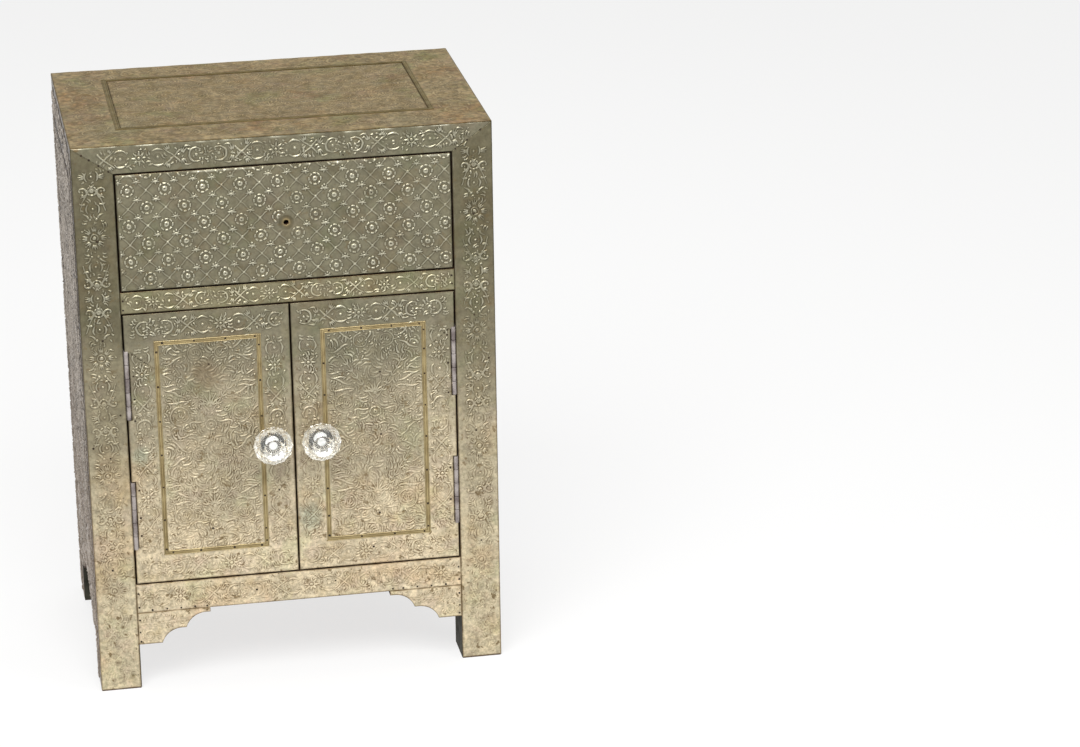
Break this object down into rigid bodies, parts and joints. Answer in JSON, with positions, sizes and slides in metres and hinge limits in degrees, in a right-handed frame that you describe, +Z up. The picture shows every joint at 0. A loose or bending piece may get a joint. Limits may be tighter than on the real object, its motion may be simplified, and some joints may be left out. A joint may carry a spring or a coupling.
{
  "type": "bedside cabinet",
  "caption": "Upright bedside cabinet on square legs, clad in embossed white metal sheet: a drawer over a cupboard with hinged doors, glass knobs, brass strips and stepped brackets.",
  "frame": {"origin": "on the floor, at the centre of the whole footprint with the door knobs counted in it", "axes": "+X to the cabinet's right as seen from the front, +Y to the back, +Z up; the front faces -Y"},
  "size_m": [0.43, 0.325, 0.6006],
  "materials": {
    "wood": "oiled, dark stained hardwood",
    "plywood": "bare plywood, aged",
    "embossed_metal": "embossed, tarnished warm grey, burnished on the ridges",
    "side_metal": "embossed, darker tarnish",
    "top_metal": "embossed, brown tarnish",
    "trim_strip": "dull brass strip",
    "steel": "dull zinc plated steel",
    "knob_glass": "clear cut glass",
    "knob_brass": "aged brass",
    "magnet": "nickel plated magnet"
  },
  "bodies": {
    "carcass": {"back_panel": "plywood", "back_rail_bottom": "wood", "back_rail_top": "wood", "board_cleats": "wood", "bottom_rail_front": "wood", "catch_magnets": "magnet", "cupboard_floor": "wood", "door_stop": "wood", "drawer_divider": "wood", "drawer_guides": "wood", "drawer_kickers": "wood", "drawer_stops": "wood", "foot_sleeves": "embossed_metal", "frame_hinge_leaves": "steel", "left_bracket": "wood", "left_bracket_sheet": "embossed_metal", "left_leg_back": "wood", "left_leg_front": "wood", "left_leg_sheet": "embossed_metal", "left_side_apron": "wood", "left_side_panel": "wood", "left_side_sheets": "side_metal", "mid_rail_front": "wood", "rail_sheets": "embossed_metal", "right_bracket": "wood", "right_bracket_sheet": "embossed_metal", "right_leg_back": "wood", "right_leg_front": "wood", "right_leg_sheet": "embossed_metal", "right_side_apron": "wood", "right_side_panel": "wood", "right_side_sheets": "side_metal", "top_board": "wood", "top_rail_front": "wood", "top_sheets": "top_metal", "top_trim": "trim_strip"},
    "drawer": {"drawer_back": "wood", "drawer_bottom": "plywood", "drawer_front": "wood", "drawer_sheet": "embossed_metal", "left_drawer_side": "wood", "right_drawer_side": "wood"},
    "left_door": {"left_door_board": "wood", "left_door_hinge_leaves": "steel", "left_door_sheets": "embossed_metal", "left_door_strike": "steel", "left_door_trim": "trim_strip", "left_knob_base": "knob_brass", "left_knob_glass": "knob_glass", "left_knob_nut": "steel"},
    "right_door": {"right_door_board": "wood", "right_door_hinge_leaves": "steel", "right_door_sheets": "embossed_metal", "right_door_strike": "steel", "right_door_trim": "trim_strip", "right_knob_base": "knob_brass", "right_knob_glass": "knob_glass", "right_knob_nut": "steel"}
  },
  "joints": [
    {"name": "drawer_slide", "type": "slide", "parent": "carcass", "child": "drawer", "axis": [0, -1, 0], "range_m": [0, 0.2]},
    {"name": "left_door_hinge", "type": "hinge", "parent": "carcass", "child": "left_door", "pos_m": [-0.1702, -0.1213, 0.26925], "axis": [0, 0, -1], "range_deg": [0, 120]},
    {"name": "right_door_hinge", "type": "hinge", "parent": "carcass", "child": "right_door", "pos_m": [0.1702, -0.1213, 0.26925], "axis": [0, 0, 1], "range_deg": [0, 120]}
  ]
}
